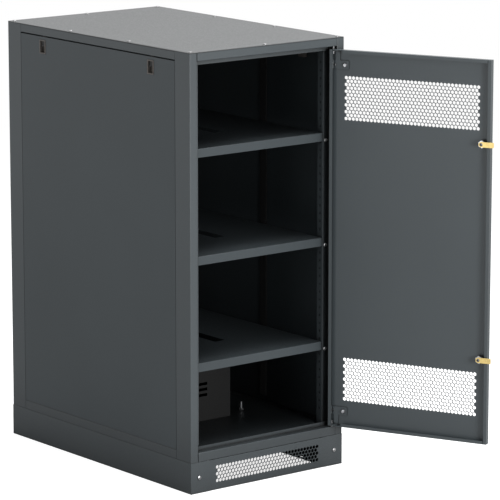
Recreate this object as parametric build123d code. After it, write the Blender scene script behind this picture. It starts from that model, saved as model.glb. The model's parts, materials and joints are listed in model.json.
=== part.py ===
from build123d import *
import math
import os

# Battery cabinet of folded sheet steel. Millimetres, +Z up, the door faces -Y.
# The origin is on the floor, in the middle of the four anchor holes.

# ---- overall
width = 600.0
depth = 958.0
height = 1360.0
plinth_height = 98.0
sheet = 1.5             # frame, door and shelves
panel_sheet = 1.2       # side and rear panels
bend = 2.5              # outside radius of a fold
seam = 0.2              # gap where two fixed pieces butt
rest_gap = 0.3          # gap between two pieces that can move apart

# ---- corner posts
post_face = 28.0        # width seen from the front
post_side = 73.0        # width seen from the side
post_setback = 34.0     # from the front to the inner flange
post_flange = 28.0      # inner flange, which carries the shelf angles
post_return = 25.0      # fold behind the inner flange, with the hole row
side_return = 23.0      # fold beside the side panel
hole_pitch = 25.0
hole_size = 8.0
hole_inset = 11.5       # hole row behind the inner flange
hole_margin = 52.0      # hole row's ends inside the door opening

# ---- rails
rail_height = 27.0      # front and rear rails at the roof
rail_low_height = 29.0  # front and rear rails over the plinth
side_rail_height = 28.0
sill_height = 29.0
stop_setback = 26.0     # door stop lip behind the front
stop_top = 15.5         # height of the upper stop lip
stop_bottom = 12.5      # height of the lower stop lip
rail_shelf = 30.0       # rail's fold under the roof and over the plinth
sill_flange = 65.0
side_rail_fold = 38.0
side_rail_lip = 18.0

# ---- door
door_depth = 20.0
door_edge_gap = 3.0
door_gap_bottom = 3.5
door_gap_top = 8.5      # lift needed to hang the door on its pins
door_lip = 10.0
lip_start = 44.0        # end lips start this far from the hinge edge
door_angle = 115.0      # how far the door stands open
pin_inset = 6.5         # hinge axis from the door's hinge edge
pin_depth = 6.0         # hinge axis behind the door's front
pin_radius = 3.0
pin_play = 0.05         # radial play of a hinge pin or spindle
vent_pitch = 30.6
vent_web = 4.0
vent_columns = 15
vent_rows = 5
vent_offset = 446.0     # vent centre above and below the door's middle

# ---- hinge pins and leaves
pin_reach = 15.0        # pin's length inside the door
pin_collar = 4.0
washer_radius = 5.5
leaf_sheet = 3.0
leaf_from_edge = 48.0   # from the door's end to the fixing stud
leaf_width = 58.0
leaf_height = 26.0
leaf_tongue = 16.0
stud_from_edge = 46.0   # fixing stud from the door's hinge edge
rivet_from_edge = 12.0
rivet_radius = 2.0
rivet_head_radius = 3.4
rivet_head_height = 1.5
hinge_stud_length = 9.0 # above the leaf
nut_washer_radius = 8.0
hinge_nut_flats = 10.0

# ---- cam locks
lock_inset = 28.0       # spindle from the door's free edge
lock_heights = (396.0, 1066.0)
cam_length = 41.0
cam_width = 16.5
cam_sheet = 3.2
cam_standoff = 22.0     # cam behind the door's front
barrel_radius = 8.0
bezel_radius = 14.0
bezel_proud = 2.5
spacer_radius = 12.0
spacer_end = 15.0       # end of the black spacer behind the door's front
lock_nut_flats = 22.0
lock_nut_height = 6.0
spindle_radius = 4.0
cam_screw_radius = 2.5
cam_screw_head = 5.0
cam_screw_length = 10.0
strike_margin = 3.5     # play of the cam in the post's strike slot

# ---- shelves
shelf_tops = (397.0, 729.5, 1061.0)
shelf_lip = 27.0
shelf_hem = 14.0
shelf_play = 1.0        # shelf's end to the post
slot_width = 40.0
slot_length = 150.0
slot_start = 238.0      # outer end of a cable slot from the middle
angle_height = 34.0
angle_ledge = 28.0
angle_play = 0.5        # support angle to the post's folds
tab_width = 21.0
screw_radius = 3.0
screw_play = 0.2
head_radius = 6.0
head_height = 3.0
head_taper = 30.0       # degrees
roof_screw_length = 8.0
panel_screw_length = 6.0
shelf_screw_x = 256.0

# ---- side panels
panel_gap = 3.0         # under the side top rail
panel_edge_gap = 0.8
panel_flange = 14.0
latch_y = 284.5         # latch from the panel's middle
latch_width = 32.0
latch_height = 44.0
latch_drop = 10.0       # bezel's top below the panel's top
latch_rim = 2.0         # bezel's rim over the panel, all round
latch_proud = 1.5
latch_depth = 13.0
latch_play = 0.4
latch_wall = 1.5
thumb_width = 20.0
thumb_height = 16.0
thumb_depth = 6.0
grip_proud = 2.0        # ledge at the foot of the thumb piece
grip_height = 3.0
bolt_width = 12.0
bolt_sheet = 3.0
bolt_reach = 6.0        # bolt's tip above the side rail's lip
bolt_inset = 6.5        # bolt's outer face behind the panel's face
lug_width = 30.0
lug_depth = 8.0
lug_inset = 8.0
lug_y = 250.0
lug_swing = 2.2         # room for a lug as its panel tilts

# ---- roof
roof_screw_side = 15.0
roof_screw_front = 16.0
cap_sheet = 3.0

# ---- plinth
plinth_fold = 15.0
channel_flange = 67.0
plinth_pitch = 24.5
plinth_columns = 17
plinth_rows = 2
plinth_vent_z = 50.0
plinth_screw_x = 268.0
corner_leg = 60.0
anchor_x = 250.0
anchor_y = 340.0
anchor_radius = 7.0
plinth_sheet = 2.0
foot_bolt_x = 268.0
foot_bolt_y = 391.0
bolt_flats = 17.0
bolt_head = 7.0
tie_bolt_radius = 5.0
tie_bolt_inset = 16.0
tie_bolt_reach = 8.0    # above the plinth

# ---- floor plate
floor_corner_x = 243.0
floor_corner_y = 405.0
cable_opening = (260.0, 90.0)
cable_opening_y = 300.0
cable_opening_corner = 10.0
stud_place = (167.0, -133.0)
stud_radius = 4.0
stud_height = 26.0
stud_nut_flats = 13.0
stud_nut_height = 5.0

# ---- breaker box
box_width = 300.0
box_right = 89.0
box_front = -174.0
box_depth = 160.0
box_height = 210.0
box_slot = (34.0, 9.5)
box_slot_heights = (84.0, 102.0, 120.0)
box_slot_x = -20.0
rail_width = 35.0
rail_depth = 7.5
rail_sheet = 1.0
terminal_depth = 50.0
terminal_width = 18.0
terminal_height = 60.0
terminal_count = 6
terminal_pitch = 20.0

# ---- rear panel
rear_margin = 2.0
rear_screw_rows = 4
rear_screw_margin = 60.0

# ---- many-sided bars
fastener_sides = 8
bush_sides = 16
bezel_sides = 24

half_w = width / 2
half_d = depth / 2
post_inner = half_w - post_face            # inner face of a post, from the middle
flange_inner = post_inner - post_flange    # inner edge of a post's inner flange
roof_under = height - sheet
frame_rear = half_d - panel_sheet          # rear face of the frame, under the rear panel
opening_low = plinth_height + rail_low_height
opening_high = height - rail_height
side_low = plinth_height + sill_height
side_high = height - side_rail_height
door_low = opening_low + door_gap_bottom
door_high = opening_high - door_gap_top
door_half = post_inner - door_edge_gap
hinge_x = door_half - pin_inset
hinge_y = -half_d + pin_depth
lock_x = -door_half + lock_inset
cap_x = half_w - roof_screw_side
cap_y = half_d - roof_screw_front
roof_screws = [(x, y) for x in (-cap_x, cap_x) for y in (-cap_y, -cap_y / 3, cap_y / 3, cap_y)]
roof_screws += [(0, -cap_y), (0, cap_y)]
tie_x = half_w - tie_bolt_inset
tie_places = [(sx * tie_x, sy * cap_y) for sx in (-1, 1) for sy in (-1, 1)]
parts = {}


# ---- shared shapes

def fold(points, plane, length, side=Side.LEFT, thickness=sheet, rounded=()):
    """A folded strip: its outer line follows the points, the metal is on the given side."""
    radii = [bend if i in rounded else 0 for i in range(1, len(points) - 1)]
    line = FilletPolyline(*points, radius=radii) if rounded else Polyline(*points)
    outline = make_face(offset(line, amount=thickness, side=side).edges())
    return extrude(plane * outline, length)


def block(x0, x1, y0, y1, z0, z1):
    """A square-cornered solid between two corners."""
    return Pos((x0 + x1) / 2, (y0 + y1) / 2, (z0 + z1) / 2) * Box(x1 - x0, y1 - y0, z1 - z0)


def rod(radius, start, end):
    """A round bar between two points."""
    start, end = Vector(start), Vector(end)
    plane = Plane(origin=start, z_dir=end - start)
    return extrude(plane * Circle(radius), (end - start).length)


def bar(radius, start, end, sides=fastener_sides):
    """A many-sided bar between two points, for small fasteners, bushes and their holes."""
    start, end = Vector(start), Vector(end)
    plane = Plane(origin=start, z_dir=end - start)
    return extrude(plane * RegularPolygon(radius, sides), (end - start).length)


def hexagon(flats, start, end):
    """A hexagonal bar between two points, for bolt heads and nuts."""
    start, end = Vector(start), Vector(end)
    plane = Plane(origin=start, z_dir=end - start)
    return extrude(plane * RegularPolygon(flats / 2, 6, major_radius=False), (end - start).length)


def screw(seat, direction, length):
    """A pan head screw: its head stands on the seat, its shank goes the other way."""
    seat, direction = Vector(seat), Vector(direction)
    base = Plane(origin=seat, z_dir=direction)
    head = extrude(base * RegularPolygon(head_radius, fastener_sides), head_height, taper=head_taper)
    return head + bar(screw_radius, seat, seat - direction * length)


def vent(columns, rows, pitch, web):
    """Hexagonal openings in staggered rows about the origin of the XY plane, short rows in between."""
    cell = RegularPolygon((pitch - web) / 2, 6, major_radius=False, rotation=30)
    row_pitch = pitch * math.sqrt(3) / 2
    cells = []
    for row in range(rows):
        count = columns - row % 2
        y = (row - (rows - 1) / 2) * row_pitch
        cells += [Pos((i - (count - 1) / 2) * pitch, y) * cell for i in range(count)]
    return cells


def about_x(shape):
    return mirror(shape, about=Plane.YZ)


def about_y(shape):
    return mirror(shape, about=Plane.XZ)


def group(*solids):
    """Several separate solids in one node."""
    return Compound(children=list(solids))


# ---- corner posts

def strike_slot(z):
    """The opening in the post's inner face that the turning cam passes through."""
    reach = post_inner - abs(lock_x)
    drop = reach * math.tan(math.acos(reach / cam_length)) + cam_width
    back = -half_d + cam_standoff
    return block(-post_inner - sheet - 1, -post_inner + 1,
                 back - strike_margin, back + cam_sheet + strike_margin,
                 z - drop - strike_margin, z + cam_width / 2 + strike_margin)


def post(front, screws):
    """The front left post, or the rear left post mirrored to the front, with its holes."""
    face = -half_d if front else -frame_rear
    flange_y = -half_d + post_setback
    points = [(-half_w + side_return, -half_d + post_side), (-half_w, -half_d + post_side), (-half_w, face),
              (-post_inner, face), (-post_inner, flange_y), (-flange_inner, flange_y),
              (-flange_inner, flange_y + post_return)]
    in_view = (2, 3) if front else (2,)
    shape = fold(points, Plane.XY.offset(plinth_height), roof_under - plinth_height, rounded=in_view)
    rows = int((opening_high - opening_low - 2 * hole_margin) // hole_pitch) + 1
    first = (opening_high + opening_low - (rows - 1) * hole_pitch) / 2
    y = flange_y + hole_inset
    pitch = hole_pitch if front else hole_pitch * 2
    count = rows if front else rows // 2 + 1
    half = hole_size / 2
    cuts = [block(-flange_inner - sheet - 1, -flange_inner + 1, y - half, y + half,
                  first + i * pitch - half, first + i * pitch + half) for i in range(count)]
    for z in screws:
        cuts.append(bar(screw_radius + screw_play, (-shelf_screw_x, flange_y - 1, z),
                        (-shelf_screw_x, flange_y + sheet + 1, z)))
    return shape - cuts


shelf_screw_heights = [z - shelf_lip + screw_radius for z in shelf_tops]
rear_screw_x = half_w - post_face / 2
rear_row_pitch = (roof_under - plinth_height - 2 * rear_screw_margin) / (rear_screw_rows - 1)
rear_rows = [plinth_height + rear_screw_margin + i * rear_row_pitch for i in range(rear_screw_rows)]
front_left = post(True, shelf_screw_heights)
rear_left = post(False, shelf_screw_heights)
rear_left -= [bar(screw_radius + screw_play, (-rear_screw_x, -frame_rear - 1, z),
                  (-rear_screw_x, -frame_rear + sheet + 1, z)) for z in rear_rows]
parts["post_front_left"] = front_left - [strike_slot(z) for z in lock_heights]
parts["post_front_right"] = about_x(front_left)
parts["post_rear_left"] = about_y(rear_left)
parts["post_rear_right"] = about_x(about_y(rear_left))


# ---- front and rear rails, drawn in the YZ plane and run between the posts

rail_span = 2 * (post_inner - seam)
rail_plane = Plane(origin=(-rail_span / 2, 0, 0), x_dir=(0, 1, 0), z_dir=(1, 0, 0))


def cross_rail(face, roof_side, stop):
    """A front rail: a fold that backs the roof or the plinth, the face, and the door's stop lip."""
    outer = roof_under - seam if roof_side else plinth_height + seam
    inner = opening_high if roof_side else opening_low
    tip = inner - stop if roof_side else inner + stop
    points = [(face + rail_shelf, outer), (face, outer), (face, inner), (face + stop_setback, inner),
              (face + stop_setback, tip)]
    return fold(points, rail_plane, rail_span, Side.LEFT if roof_side else Side.RIGHT, rounded=(2,))


hinge_notch = block(hinge_x - pin_inset, half_w,
                    -half_d + stop_setback - sheet, -half_d + stop_setback + 2 * sheet,
                    opening_low + sheet + seam, opening_high - sheet - seam)
pin_hole = rod(pin_radius + pin_play, (hinge_x, hinge_y, opening_low - 2 * sheet),
               (hinge_x, hinge_y, opening_high + 2 * sheet))
roof_holes = [bar(screw_radius + screw_play, (x, y, roof_under - 10), (x, y, height + 1))
              for x, y in roof_screws]
tie_holes = [bar(tie_bolt_radius + screw_play, (x, y, 1), (x, y, plinth_height + 10)) for x, y in tie_places]
parts["rail_front_top"] = cross_rail(-half_d, True, stop_top) - hinge_notch - pin_hole - roof_holes
parts["rail_front_bottom"] = cross_rail(-half_d, False, stop_bottom) - hinge_notch - pin_hole
parts["rail_rear_top"] = about_y(cross_rail(-frame_rear, True, stop_top)) - roof_holes
parts["rail_rear_bottom"] = about_y(cross_rail(-frame_rear, False, stop_bottom))


# ---- side rails and sills, drawn in the XZ plane and run between the posts

side_half = half_d - post_side
side_span = 2 * (side_half - seam)
side_plane = Plane(origin=(0, side_span / 2, 0), x_dir=(1, 0, 0), z_dir=(0, -1, 0))
bolt_face = -half_w + bolt_inset          # outer face of a latch bolt
latch_places = (-latch_y, latch_y)
bolt_slots = [block(bolt_face - latch_play, bolt_face + bolt_sheet + latch_play,
                    y - bolt_width / 2 - latch_play, y + bolt_width / 2 + latch_play,
                    side_high - panel_gap - 2 * latch_wall,
                    side_high + 2 * sheet) for y in latch_places]
lug_face = -half_w + lug_inset
lug_slots = [block(lug_face - rest_gap - lug_swing / 2, lug_face + panel_sheet + lug_swing + 2 * rest_gap,
                   y - lug_width / 2 - rest_gap, y + lug_width / 2 + rest_gap, side_low - 2 * sheet,
                   side_low + 1) for y in (-lug_y, lug_y)]
side_rail = fold([(-half_w + side_rail_fold, roof_under - seam), (-half_w, roof_under - seam),
                  (-half_w, side_high), (-half_w + side_rail_lip, side_high)],
                 side_plane, side_span, rounded=(2,))
side_rail -= bolt_slots + roof_holes
side_sill = fold([(-half_w + sill_flange, side_low), (-half_w, side_low), (-half_w, plinth_height + seam),
                  (-half_w + rail_shelf, plinth_height + seam)],
                 side_plane, side_span, rounded=(1,)) - lug_slots
parts["side_rail_left"] = side_rail
parts["side_rail_right"] = about_x(side_rail)
parts["side_sill_left"] = side_sill
parts["side_sill_right"] = about_x(side_sill)


# ---- post caps, roof plate and its screws

def cap(low):
    """The plate that closes a post's pocket, front left."""
    return block(-half_w + sheet + seam, -post_inner - sheet - seam, -frame_rear + bend + seam,
                 -half_d + post_setback - bend, low, low + cap_sheet)


def four_corners(shape):
    return [shape, about_x(shape), about_y(shape), about_x(about_y(shape))]


upper_caps = [c - roof_holes for c in four_corners(cap(roof_under - seam - cap_sheet))]
lower_caps = [c - tie_holes for c in four_corners(cap(plinth_height + seam))]
parts["post_caps"] = group(*upper_caps, *lower_caps)
roof = block(-half_w, half_w, -half_d, half_d, roof_under, height)
roof = fillet(roof.edges().filter_by(Axis.Z), bend)
parts["roof_plate"] = roof - roof_holes
parts["roof_screws"] = group(*[screw((x, y, height), (0, 0, 1), roof_screw_length) for x, y in roof_screws])


# ---- plinth

channel = fold([(-half_w + channel_flange, plinth_height), (-half_w, plinth_height), (-half_w, 0),
                (-half_w + channel_flange, 0)],
               Plane(origin=(0, half_d - sheet - seam, 0), x_dir=(1, 0, 0), z_dir=(0, -1, 0)),
               2 * (half_d - sheet - seam), thickness=plinth_sheet)
channel -= [rod(anchor_radius, (-anchor_x, y, -1), (-anchor_x, y, 10)) for y in (-anchor_y, anchor_y)]
channel -= [bar(tie_bolt_radius + screw_play, (-foot_bolt_x, y, -1), (-foot_bolt_x, y, 10))
            for y in (-foot_bolt_y, foot_bolt_y)]
channel -= tie_holes
parts["plinth_side_left"] = channel
parts["plinth_side_right"] = about_x(channel)


def plinth_plate():
    """The full-width front plate; its folds stop short of the side channels."""
    top = plinth_height - seam
    plane = Plane(origin=(-half_w, 0, 0), x_dir=(0, 1, 0), z_dir=(1, 0, 0))
    points = [(-half_d + plinth_fold, top), (-half_d, top), (-half_d, 0), (-half_d + plinth_fold, 0)]
    plate = fold(points, plane, width)
    clear = half_w - channel_flange - 2 * sheet
    ends = block(-half_w - 1, -clear, -half_d + sheet, 0, -1, plinth_height + 1)
    holes = [bar(screw_radius + screw_play, (x, -half_d - 1, plinth_height / 2),
                 (x, -half_d + sheet + 1, plinth_height / 2)) for x in (-plinth_screw_x, plinth_screw_x)]
    return plate - [ends, about_x(ends)] - holes


vent_plane = Plane(origin=(0, -half_d - 1, plinth_vent_z), x_dir=(1, 0, 0), z_dir=(0, -1, 0))
grille = [extrude(vent_plane * cell, -sheet - 2)
          for cell in vent(plinth_columns, plinth_rows, plinth_pitch, vent_web)]
parts["plinth_front"] = plinth_plate() - grille
parts["plinth_rear"] = about_y(plinth_plate())
bracket_face = -half_d + sheet + seam
bracket_side = -half_w + plinth_sheet + seam
bracket = fold([(bracket_side + corner_leg, bracket_face), (bracket_side, bracket_face),
                (bracket_side, bracket_face + corner_leg)], Plane.XY.offset(plinth_sheet + seam),
               plinth_height - 2 * (plinth_sheet + seam), Side.RIGHT, plinth_sheet)
bracket -= bar(screw_radius + screw_play, (-plinth_screw_x, bracket_face - 1, plinth_height / 2),
               (-plinth_screw_x, bracket_face + 2 * plinth_sheet, plinth_height / 2))
parts["plinth_brackets"] = group(*four_corners(bracket))
front_screw = screw((-plinth_screw_x, -half_d, plinth_height / 2), (0, -1, 0), roof_screw_length)
parts["plinth_screws"] = group(*four_corners(front_screw))
x, y = tie_places[0]
tie_seat = plinth_height - plinth_sheet
tie_bolt = (hexagon(bolt_flats, (x, y, tie_seat - bolt_head), (x, y, tie_seat))
            + bar(tie_bolt_radius, (x, y, tie_seat - 1), (x, y, plinth_height + tie_bolt_reach)))
x, y = -foot_bolt_x, -foot_bolt_y
foot_bolt = (hexagon(bolt_flats, (x, y, plinth_sheet), (x, y, plinth_sheet + bolt_head))
             + bar(tie_bolt_radius, (x, y, seam), (x, y, plinth_sheet + 1)))
parts["plinth_bolts"] = group(*four_corners(tie_bolt), *four_corners(foot_bolt))


# ---- floor plate and earth stud

floor_end = half_d - stop_setback - sheet - rest_gap
floor_wide = half_w - panel_flange - 2 * bend - lug_swing
floor = block(-floor_wide, floor_wide, -floor_corner_y, floor_corner_y, side_low, side_low + sheet)
floor += block(-floor_corner_x, floor_corner_x, -floor_end, floor_end - panel_sheet,
               side_low, side_low + sheet)
opening = Pos(0, cable_opening_y, side_low) * extrude(
    RectangleRounded(*cable_opening, cable_opening_corner), 2 * sheet, both=True)
parts["floor_plate"] = floor - opening
floor_top = side_low + sheet
x, y = stud_place
parts["earth_stud"] = (hexagon(stud_nut_flats, (x, y, floor_top), (x, y, floor_top + stud_nut_height))
                       + rod(stud_radius, (x, y, floor_top + 1), (x, y, floor_top + stud_height)))


# ---- shelves on their support angles

shelf_half = flange_inner - shelf_play
shelf_front = -half_d + post_setback + shelf_play
shelf_plane = Plane(origin=(-shelf_half, 0, 0), x_dir=(0, 1, 0), z_dir=(1, 0, 0))
web_face = -flange_inner - sheet - angle_play    # inner face of a support angle's web
tab_y = -half_d + post_setback + sheet + angle_play
screw_seat = -half_d + post_setback


def shelf(top):
    points = [(shelf_front + shelf_hem, top - shelf_lip), (shelf_front, top - shelf_lip), (shelf_front, top),
              (-shelf_front, top), (-shelf_front, top - shelf_lip),
              (-shelf_front - shelf_hem, top - shelf_lip)]
    slot = block(-slot_width / 2, slot_width / 2, -slot_start, -slot_start + slot_length,
                 top - 2 * sheet, top + 1)
    return fold(points, shelf_plane, 2 * shelf_half, Side.RIGHT, rounded=(2,)) - [slot, about_y(slot)]


def support_angle(top):
    """The left angle under a shelf, with a tab behind the flange of each post."""
    high = top - sheet
    low = high - angle_height
    plane = Plane(origin=(0, -tab_y, 0), x_dir=(1, 0, 0), z_dir=(0, -1, 0))
    outer = web_face - sheet
    angle = fold([(outer, low), (outer, high), (outer + angle_ledge, high)], plane, -2 * tab_y, Side.RIGHT)
    tab = block(outer - tab_width, web_face, tab_y, tab_y + sheet, low, high - bend)
    tab -= bar(screw_radius + screw_play, (-shelf_screw_x, tab_y - 1, top - shelf_lip + screw_radius),
               (-shelf_screw_x, tab_y + sheet + 1, top - shelf_lip + screw_radius))
    behind = post_return + rest_gap
    relief = block(web_face, web_face + angle_ledge, tab_y - sheet, screw_seat + behind, low, high + 1)
    return angle + tab + about_y(tab) - [relief, about_y(relief)]


for number, top in enumerate(shelf_tops, start=1):
    parts[f"shelf_{number}"] = shelf(top)
left_angles = [support_angle(top) for top in shelf_tops]
parts["shelf_angles_left"] = group(*left_angles)
parts["shelf_angles_right"] = group(*[about_x(angle) for angle in left_angles])
parts["shelf_screws"] = group(*[c for z in shelf_screw_heights for c in four_corners(
    screw((-shelf_screw_x, screw_seat, z), (0, -1, 0), panel_screw_length))])


# ---- breaker box on the floor plate, with its cover, rail and terminals

box_left = box_right - box_width
box_back = box_front + box_depth
box_low = floor_top
box_high = box_low + box_height
shell = block(box_left, box_right, box_front, box_back, box_low, box_high)
shell -= block(box_left + sheet, box_right - sheet, box_front - 1, box_back - sheet,
               box_low + sheet, box_high - sheet)
parts["breaker_box"] = shell
cover = block(box_left, box_right, box_front - sheet - seam, box_front - seam, box_low, box_high)
slot_plane = Plane(origin=(box_slot_x, box_front, box_low), x_dir=(1, 0, 0), z_dir=(0, -1, 0))
cover -= [extrude(slot_plane * Pos(0, z) * Rectangle(*box_slot), 3 * sheet, both=True)
          for z in box_slot_heights]
parts["breaker_box_cover"] = cover
rail_z = box_low + box_height / 2
rail_y = box_back - sheet
rail_front = rail_y - rail_depth
rail_low, rail_high = rail_z - rail_width / 2, rail_z + rail_width / 2
rail_wall = rail_width / 6
parts["terminal_rail"] = fold(
    [(rail_front, rail_low), (rail_front, rail_low + rail_wall), (rail_y, rail_low + rail_wall),
     (rail_y, rail_high - rail_wall), (rail_front, rail_high - rail_wall), (rail_front, rail_high)],
    Plane(origin=(box_left + terminal_width, 0, 0), x_dir=(0, 1, 0), z_dir=(1, 0, 0)),
    box_width - 2 * terminal_width, Side.LEFT, rail_sheet)
terminal_back = rail_front - rail_sheet - seam
terminals = []
for i in range(terminal_count):
    x = box_left + 3 * terminal_width + i * terminal_pitch
    terminals.append(block(x, x + terminal_width, terminal_back - terminal_depth, terminal_back,
                           rail_z - terminal_height / 2, rail_z + terminal_height / 2))
parts["terminal_blocks"] = group(*terminals)


# ---- rear panel

rear = block(-half_w + rear_margin, half_w - rear_margin, frame_rear, half_d, plinth_height + rear_margin,
             roof_under - rear_margin)
rear_places = [(x, z) for x in (-rear_screw_x, rear_screw_x) for z in rear_rows]
parts["rear_panel"] = rear - [bar(screw_radius + screw_play, (x, frame_rear - 1, z), (x, half_d + 1, z))
                              for x, z in rear_places]
parts["rear_screws"] = group(*[screw((x, half_d, z), (0, 1, 0), panel_screw_length) for x, z in rear_places])


# ---- hinge pins fixed in the rails, and the washer that carries the door

def hinge_pin(sign, fold_face, door_end):
    """A pin whose collar rests behind the rail's fold; sign is 1 for the upper pin."""
    behind = fold_face + sign * (sheet + seam)
    return (rod(pin_radius, (hinge_x, hinge_y, door_end - sign * pin_reach), (hinge_x, hinge_y, behind))
            + bar(pin_collar, (hinge_x, hinge_y, behind), (hinge_x, hinge_y, behind + sign * pin_collar)))


parts["hinge_pins"] = group(hinge_pin(1, opening_high, door_high), hinge_pin(-1, opening_low, door_low))
washer_top = door_low - rest_gap
parts["hinge_washer"] = (bar(washer_radius, (hinge_x, hinge_y, opening_low), (hinge_x, hinge_y, washer_top),
                             bush_sides)
                         - rod(pin_radius + pin_play, (hinge_x, hinge_y, 0), (hinge_x, hinge_y, height)))


# ---- side panels, standing on the sills, with lugs at the foot and latches near the top

panel_low = side_low + rest_gap
panel_high = side_high - panel_gap
panel_half = side_half - panel_edge_gap
panel_skin = -half_w + panel_sheet
latch_top = panel_high - latch_drop
latch_z = latch_top - latch_height / 2
panel = block(-half_w, -half_w + panel_flange, -panel_half, panel_half, panel_low, panel_high)
panel = chamfer(panel.faces().sort_by(Axis.X)[0].edges(), panel_sheet / 2)
panel -= block(panel_skin, half_w, -panel_half + panel_sheet, panel_half - panel_sheet,
               panel_low + panel_sheet, panel_high - panel_sheet)
panel += [block(lug_face, lug_face + panel_sheet, y - lug_width / 2, y + lug_width / 2, panel_low - lug_depth,
                panel_low + panel_sheet) for y in (-lug_y, lug_y)]
box_y = latch_width / 2 - latch_rim
box_z = latch_height / 2 - latch_rim
panel -= [block(-half_w - 1, panel_skin + 1, y - box_y - seam, y + box_y + seam, latch_z - box_z - seam,
                latch_z + box_z + seam) for y in latch_places]
panel -= bolt_slots
parts["side_panel_left"] = panel
parts["side_panel_right"] = about_x(panel)


def latch_bezel(y):
    """A recessed frame that is clipped into the panel; its pocket holds the thumb slide."""
    rim = block(-half_w - latch_proud, -half_w, y - latch_width / 2, y + latch_width / 2,
                latch_z - latch_height / 2, latch_z + latch_height / 2)
    rim = chamfer(rim.edges().filter_by(Axis.X), bend)
    back = -half_w + latch_depth
    pocket = block(-half_w, back, y - box_y, y + box_y, latch_z - box_z, latch_z + box_z)
    hollow = block(-half_w - latch_proud - 1, back - latch_wall,
                   y - box_y + latch_wall, y + box_y - latch_wall,
                   latch_z - box_z + latch_wall, latch_z + box_z - latch_wall)
    return rim + pocket - hollow - bolt_slots_through(y)


def bolt_slots_through(y):
    return block(bolt_face - latch_play, bolt_face + bolt_sheet + latch_play, y - bolt_width / 2 - latch_play,
                 y + bolt_width / 2 + latch_play, latch_z + box_z - 2 * latch_wall, side_high)


def latch_slide(y):
    """The thumb piece and the bolt that stands behind the side rail's lip."""
    thumb_high = latch_z + box_z - latch_wall - latch_play
    thumb = block(bolt_face + bolt_sheet - thumb_depth, bolt_face + bolt_sheet, y - thumb_width / 2,
                  y + thumb_width / 2, thumb_high - thumb_height, thumb_high)
    grip = block(bolt_face + bolt_sheet - thumb_depth - grip_proud, bolt_face, y - thumb_width / 2,
                 y + thumb_width / 2, thumb_high - thumb_height, thumb_high - thumb_height + grip_height)
    bolt = block(bolt_face, bolt_face + bolt_sheet, y - bolt_width / 2, y + bolt_width / 2,
                 thumb_high - thumb_height, side_high + bolt_reach)
    return thumb + grip + bolt


parts["latch_bezels_left"] = group(*[latch_bezel(y) for y in latch_places])
parts["latch_bezels_right"] = group(*[about_x(latch_bezel(y)) for y in latch_places])
for end, y in zip(("front", "rear"), latch_places):
    parts[f"latch_slide_left_{end}"] = latch_slide(y)
    parts[f"latch_slide_right_{end}"] = about_x(latch_slide(y))


# ---- front door, drawn shut and then swung open about the hinge pins

swing = Pos(hinge_x, hinge_y, 0) * Rot(0, 0, door_angle) * Pos(-hinge_x, -hinge_y, 0)
door_front = -half_d
door_skin = door_front + sheet
door_back = door_front + door_depth
door_middle = (door_low + door_high) / 2
pan = block(-door_half, door_half, door_front, door_back, door_low, door_high)
pan = chamfer(pan.faces().sort_by(Axis.Y)[0].edges(), bend / 2)
pan -= block(-door_half + sheet, door_half - sheet, door_skin, 0, door_low + sheet, door_high - sheet)
lip_y = (door_back - sheet, door_back)
for side in (-1, 1):
    x0, x1 = sorted((side * door_half, side * (door_half - door_lip)))
    pan += block(x0, x1, *lip_y, door_low, door_high)
for z0, z1 in ((door_low, door_low + door_lip), (door_high - door_lip, door_high)):
    pan += block(-door_half + door_lip + sheet / 2, door_half - lip_start, *lip_y, z0, z1)
door_grille = Plane(origin=(0, door_front - 1, door_middle), x_dir=(1, 0, 0), z_dir=(0, -1, 0))
cells = vent(vent_columns, vent_rows, vent_pitch, vent_web)
for shift in (-vent_offset, vent_offset):
    pan -= [extrude(door_grille * Pos(0, shift) * cell, -sheet - 2) for cell in cells]
pin_bore = rod(pin_radius + pin_play, (hinge_x, hinge_y, 0), (hinge_x, hinge_y, height))
lock_bores = [bar(barrel_radius + seam, (lock_x, door_front - 1, z), (lock_x, door_skin + 1, z), bush_sides)
              for z in lock_heights]
parts["door_pan"] = swing * (pan - pin_bore - lock_bores)


def hinge_leaf(sign, end):
    """A plate on the door's inside whose end tab doubles the pin's bore; sign is 1 at the door's top."""
    def span(z0, z1):
        return sorted((end - sign * z0, end - sign * z1))
    edge = door_half
    stud_from = leaf_from_edge
    plate = block(edge - leaf_width, edge - 2 * sheet, door_skin, door_skin + leaf_sheet,
                  *span(stud_from - leaf_height / 2, stud_from + leaf_height / 2))
    tongue_in = pin_inset + pin_radius + 2 * sheet
    tongue = block(edge - tongue_in - leaf_tongue, edge - tongue_in, door_skin, door_skin + leaf_sheet,
                   *span(sheet, stud_from))
    tab = block(edge - tongue_in - leaf_tongue, edge - sheet - seam, door_skin, lip_y[0] - sheet,
                *span(sheet, sheet + leaf_sheet))
    stud_z = end - sign * stud_from
    holes = [bar(radius, (edge - inset, 0, stud_z), (edge - inset, -half_d, stud_z))
             for radius, inset in ((screw_radius + seam, stud_from_edge), (rivet_radius, rivet_from_edge))]
    return plate + tongue + tab - holes - pin_bore


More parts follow.
